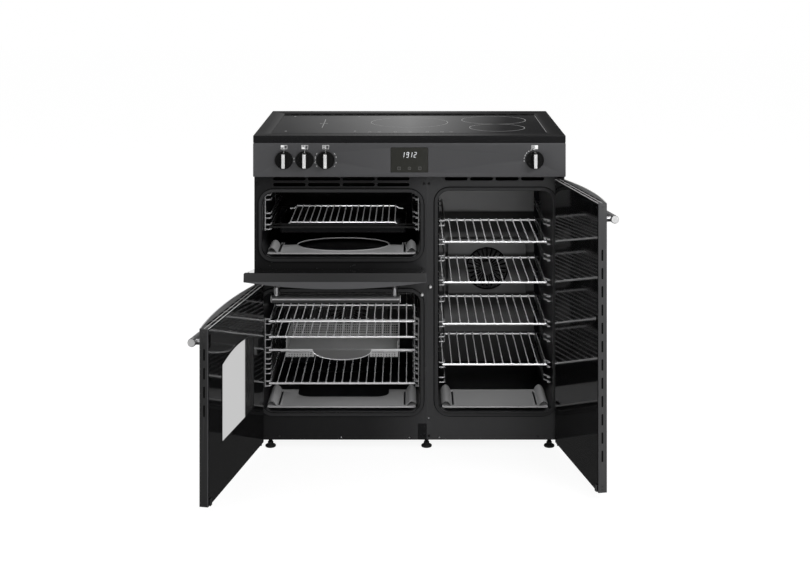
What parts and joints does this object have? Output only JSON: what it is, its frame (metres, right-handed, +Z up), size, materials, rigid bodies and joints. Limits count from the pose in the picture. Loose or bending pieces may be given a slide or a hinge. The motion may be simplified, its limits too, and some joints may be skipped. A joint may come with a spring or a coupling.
{
  "type": "range cooker",
  "caption": "Electric range cooker: induction hob, knob control panel, top oven with drop-down door, main oven and tall oven with side-hung doors, wire shelves and trays.",
  "frame": {"origin": "on the floor, at the middle of the hob's width and depth", "axes": "+X to the right as the user faces the cooker, +Y to the wall behind it, +Z up"},
  "size_m": [1.1439, 1.0606, 0.915],
  "materials": {
    "black_enamel": "gloss enamel on steel",
    "charcoal_enamel": "satin enamel on steel",
    "anthracite": "satin anthracite coat",
    "ceramic_glass": "polished black ceramic glass",
    "display_glass": "dark glass",
    "clear_glass": "clear toughened glass",
    "door_glass": "glossy black enamel",
    "lamp_glass": "ribbed lamp glass",
    "knob_black": "gloss black",
    "black_plastic": "matte black",
    "seal_rubber": "matte grey silicone",
    "liner_enamel": "speckled gloss enamel",
    "grey_enamel": "grey enamel",
    "galvanised": "zinc-coated sheet steel",
    "steel": "bare steel",
    "dark_steel": "dark steel",
    "tray_steel": "perforated stainless steel",
    "chrome_wire": "bright chrome",
    "handle_chrome": "polished chrome",
    "copper": "copper windings"
  },
  "bodies": {
    "cooker": {"hob_frame": "black_enamel", "hob_glass": "ceramic_glass", "hob_vent_grille": "black_enamel", "induction_coils": "copper", "hob_power_module": "steel", "control_fascia": "anthracite", "display_window": "display_glass", "timer_module": "black_plastic", "control_switches": "black_plastic", "side_panel_left": "anthracite", "side_panel_right": "anthracite", "back_panel": "galvanised", "base_plate": "galvanised", "front_frame_left": "black_enamel", "front_frame_right": "charcoal_enamel", "levelling_feet": "black_plastic", "frame_screws": "dark_steel", "terminal_box": "black_plastic", "cable_gland": "black_plastic", "top_oven_liner": "liner_enamel", "main_oven_liner": "liner_enamel", "tall_oven_liner": "liner_enamel", "door_seals": "seal_rubber", "oven_floor_plates": "grey_enamel", "side_racks": "chrome_wire", "lamp_lenses": "lamp_glass", "grill_element": "dark_steel", "fan_heaters": "dark_steel", "fan_covers": "liner_enamel", "fan_motors": "steel", "hinge_brackets": "dark_steel", "strike_pins": "chrome_wire"},
    "grill_door": {"grill_door_skin": "anthracite", "grill_door_inner": "door_glass", "grill_door_handle": "handle_chrome", "grill_door_hinges": "dark_steel"},
    "main_oven_door": {"main_door_skin": "anthracite", "main_door_inner": "door_glass", "main_door_glass": "clear_glass", "main_door_handle": "handle_chrome", "main_door_hinges": "dark_steel"},
    "tall_oven_door": {"tall_door_skin": "anthracite", "tall_door_inner": "door_glass", "tall_door_handle": "handle_chrome", "tall_door_hinges": "dark_steel"},
    "top_oven_knob": {"knob_top_oven": "knob_black"},
    "main_function_knob": {"knob_main_function": "knob_black"},
    "main_heat_knob": {"knob_main_heat": "knob_black"},
    "tall_oven_knob": {"knob_tall_oven": "knob_black"},
    "low_shelf": {"main_shelf_low": "chrome_wire"},
    "mid_shelf": {"main_shelf_mid": "chrome_wire"},
    "high_shelf": {"main_shelf_high": "chrome_wire"},
    "roasting_tray_body": {"roasting_tray": "tray_steel"},
    "tall_shelf_a": {"tall_shelf_1": "chrome_wire"},
    "tall_shelf_b": {"tall_shelf_2": "chrome_wire"},
    "tall_shelf_c": {"tall_shelf_3": "chrome_wire"},
    "tall_shelf_d": {"tall_shelf_4": "chrome_wire"},
    "grill_pan_body": {"grill_pan": "liner_enamel"},
    "main_oven_fan": {"main_fan": "steel"},
    "tall_oven_fan": {"tall_fan": "steel"}
  },
  "joints": [
    {"name": "grill_door_hinge", "type": "hinge", "parent": "cooker", "child": "grill_door", "pos_m": [-0.201, -0.287, 0.512], "axis": [1, 0, 0], "range_deg": [-79.5, 0]},
    {"name": "main_door_hinge", "type": "hinge", "parent": "cooker", "child": "main_oven_door", "pos_m": [-0.436, -0.285, 0.254], "axis": [0, 0, -1], "range_deg": [-101, 0]},
    {"name": "tall_door_hinge", "type": "hinge", "parent": "cooker", "child": "tall_oven_door", "pos_m": [0.436, -0.285, 0.406], "axis": [0, 0, 1], "range_deg": [-101, 0]},
    {"name": "top_oven_knob_turn", "type": "hinge", "parent": "cooker", "child": "top_oven_knob", "pos_m": [-0.361, -0.3, 0.845], "axis": [0, 1, 0], "range_deg": [0, 270]},
    {"name": "main_function_knob_turn", "type": "hinge", "parent": "cooker", "child": "main_function_knob", "pos_m": [-0.301, -0.3, 0.845], "axis": [0, 1, 0], "range_deg": [0, 300]},
    {"name": "main_heat_knob_turn", "type": "hinge", "parent": "cooker", "child": "main_heat_knob", "pos_m": [-0.241, -0.3, 0.845], "axis": [0, 1, 0], "range_deg": [0, 270]},
    {"name": "tall_oven_knob_turn", "type": "hinge", "parent": "cooker", "child": "tall_oven_knob", "pos_m": [0.361, -0.3, 0.845], "axis": [0, 1, 0], "range_deg": [0, 270]},
    {"name": "low_shelf_slide", "type": "slide", "parent": "cooker", "child": "low_shelf", "axis": [0, -1, 0], "range_m": [0, 0.25]},
    {"name": "mid_shelf_slide", "type": "slide", "parent": "cooker", "child": "mid_shelf", "axis": [0, -1, 0], "range_m": [0, 0.25]},
    {"name": "high_shelf_slide", "type": "slide", "parent": "cooker", "child": "high_shelf", "axis": [0, -1, 0], "range_m": [0, 0.25]},
    {"name": "roasting_tray_slide", "type": "slide", "parent": "cooker", "child": "roasting_tray_body", "axis": [0, -1, 0], "range_m": [0, 0.25]},
    {"name": "tall_shelf_a_slide", "type": "slide", "parent": "cooker", "child": "tall_shelf_a", "axis": [0, -1, 0], "range_m": [0, 0.25]},
    {"name": "tall_shelf_b_slide", "type": "slide", "parent": "cooker", "child": "tall_shelf_b", "axis": [0, -1, 0], "range_m": [0, 0.25]},
    {"name": "tall_shelf_c_slide", "type": "slide", "parent": "cooker", "child": "tall_shelf_c", "axis": [0, -1, 0], "range_m": [0, 0.25]},
    {"name": "tall_shelf_d_slide", "type": "slide", "parent": "cooker", "child": "tall_shelf_d", "axis": [0, -1, 0], "range_m": [0, 0.25]},
    {"name": "grill_pan_slide", "type": "slide", "parent": "cooker", "child": "grill_pan_body", "axis": [0, -1, 0], "range_m": [0, 0.25]},
    {"name": "main_fan_spin", "type": "hinge", "parent": "cooker", "child": "main_oven_fan", "pos_m": [-0.198, 0.23, 0.282], "axis": [0, 1, 0], "continuous": true},
    {"name": "tall_fan_spin", "type": "hinge", "parent": "cooker", "child": "tall_oven_fan", "pos_m": [0.25, 0.23, 0.42], "axis": [0, 1, 0], "continuous": true}
  ]
}
